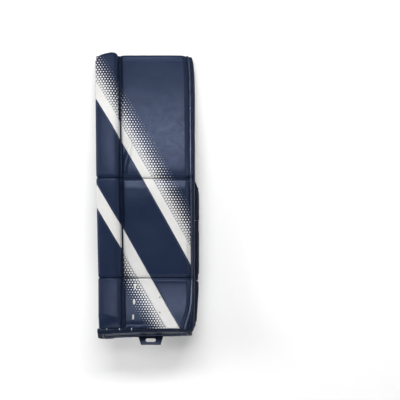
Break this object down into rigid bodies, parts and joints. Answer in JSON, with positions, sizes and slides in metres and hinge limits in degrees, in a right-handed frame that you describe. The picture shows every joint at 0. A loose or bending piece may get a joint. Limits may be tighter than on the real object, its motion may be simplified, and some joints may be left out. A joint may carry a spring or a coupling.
{
  "type": "ice hockey goalie leg pad",
  "caption": "Junior ice hockey goalie leg pad in navy leather with white stripes, a raised outer roll, and straps behind.",
  "frame": {"origin": "on the floor, under the middle of the pad's box, with the pad lying on its back", "axes": "+Z out of the front face, +Y along the pad towards the thigh end, +X towards the edge away from the roll"},
  "size_m": [0.2668, 0.7468, 0.167],
  "materials": {
    "navy_leather": "soft sheen, fine grain",
    "white_leather": "soft sheen, fine grain",
    "navy_trim": "smooth, folded edge",
    "back_cloth": "dull woven nylon",
    "strap_webbing": "ribbed webbing",
    "buckle_plastic": "moulded, fine texture"
  },
  "bodies": {
    "root": {"thigh_core": "navy_leather", "shin_core": "navy_leather", "boot_core": "navy_leather", "thigh_roll": "navy_leather", "shin_roll": "navy_leather", "boot_roll": "navy_leather", "thigh_edge_piping": "navy_trim", "shin_edge_piping": "navy_trim", "boot_edge_piping": "navy_trim", "toe_binding": "navy_trim", "toe_tab": "navy_trim", "upper_stripe_thigh": "white_leather", "upper_stripe_shin": "white_leather", "lower_stripe_shin": "white_leather", "lower_stripe_boot": "white_leather", "upper_stripe_roll": "white_leather", "lower_stripe_roll": "white_leather", "knee_wing": "back_cloth", "calf_wing": "back_cloth", "knee_block": "back_cloth", "calf_riser": "back_cloth", "inner_boot_flap": "back_cloth", "outer_boot_flap": "back_cloth", "knee_strap": "strap_webbing", "knee_buckle": "buckle_plastic", "calf_strap": "strap_webbing", "calf_buckle": "buckle_plastic", "boot_strap": "strap_webbing", "boot_buckle": "buckle_plastic"}
  },
  "joints": []
}
